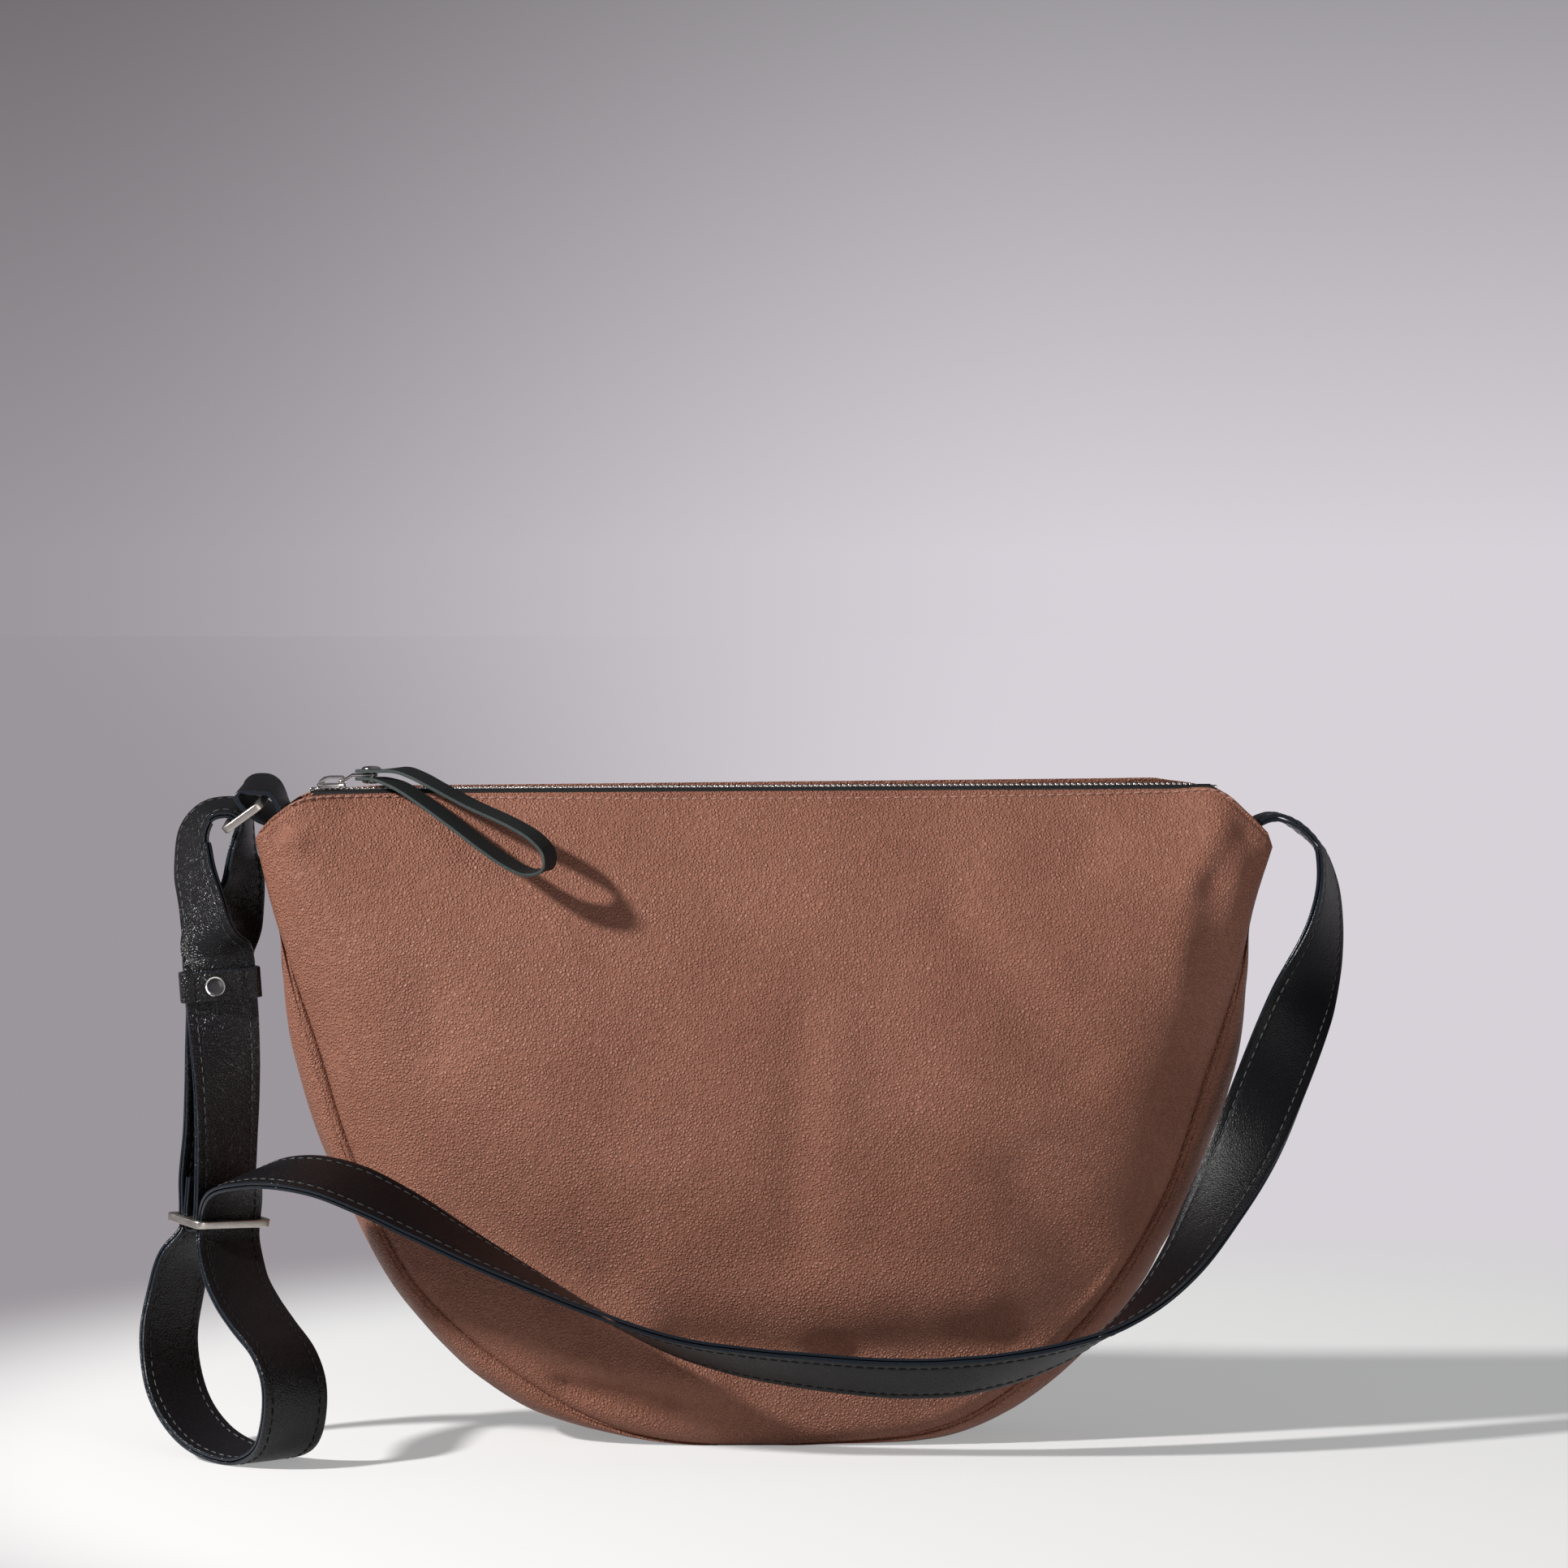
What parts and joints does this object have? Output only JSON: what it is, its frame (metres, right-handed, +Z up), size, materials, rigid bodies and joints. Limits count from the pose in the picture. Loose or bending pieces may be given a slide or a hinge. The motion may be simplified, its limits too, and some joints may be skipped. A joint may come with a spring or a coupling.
{
  "type": "pouch bag",
  "caption": "Crescent leather pouch bag with a top zip, a leather puller, and a black shoulder strap on a ring, keeper and buckle.",
  "frame": {"origin": "on the floor under the middle of the bag: X=0 is halfway between the zip's ends, Y=0 is the zip's plane, Z=0 is the flat base", "axes": "+X along the zip from the ring end to the sewn end of the strap, +Y from the front panel to the back panel, +Z up"},
  "size_m": [0.4735, 0.1419, 0.2649],
  "materials": {
    "brown_leather": "pebbled, semi-matte",
    "black_leather": "satin",
    "pull_leather": "matte with raw edges",
    "lining_cloth": "woven, matte",
    "zip_tape": "woven, matte",
    "polished_nickel": "polished",
    "brushed_nickel": "brushed",
    "black_lacquer": "gloss"
  },
  "bodies": {
    "bag": {"front_panel": "brown_leather", "back_panel": "brown_leather", "gusset_band": "brown_leather", "lining_front": "lining_cloth", "lining_back": "lining_cloth", "zip_tape_front": "zip_tape", "zip_tape_back": "zip_tape", "zip_teeth_front": "polished_nickel", "zip_teeth_back": "polished_nickel", "zip_stop_left": "polished_nickel", "zip_stop_right": "polished_nickel", "left_tab": "black_leather", "strap_outer_leather": "black_leather", "strap_inner_leather": "black_leather"},
    "slider": {"zip_slider": "polished_nickel"},
    "link": {"puller_link": "polished_nickel"},
    "pull": {"leather_pull": "pull_leather", "pull_rivet_cap": "polished_nickel", "pull_rivet_base": "polished_nickel"},
    "ring": {"strap_ring": "brushed_nickel"},
    "keeper": {"keeper_band": "black_leather", "keeper_snap_rim": "polished_nickel", "keeper_snap_face": "black_lacquer"},
    "buckle": {"buckle_frame": "brushed_nickel"}
  },
  "joints": [
    {"name": "zip_slide", "type": "slide", "parent": "bag", "child": "slider", "axis": [1, 0, 0.0057], "range_m": [0, 0.339]},
    {"name": "link_lift", "type": "hinge", "parent": "slider", "child": "link", "pos_m": [-0.16722, 0, 0.25875], "axis": [0, -1, 0], "range_deg": [0, 80]},
    {"name": "pull_swivel", "type": "hinge", "parent": "link", "child": "pull", "pos_m": [-0.15474, 0, 0.26112], "axis": [0, 0, 1], "range_deg": [-55, 0]},
    {"name": "ring_tilt", "type": "hinge", "parent": "bag", "child": "ring", "pos_m": [-0.1965, -0.00046, 0.25338], "axis": [0.0501, 0.9764, 0.2103], "range_deg": [-1.5, 1.5]},
    {"name": "keeper_slide", "type": "slide", "parent": "bag", "child": "keeper", "axis": [-0.0721, 0.0023, 0.9974], "range_m": [-0.003, 0.0005]},
    {"name": "buckle_tilt", "type": "hinge", "parent": "bag", "child": "buckle", "pos_m": [-0.213, -0.02392, 0.088], "axis": [0.766, 0.6409, -0.0501], "range_deg": [0, 4]}
  ]
}
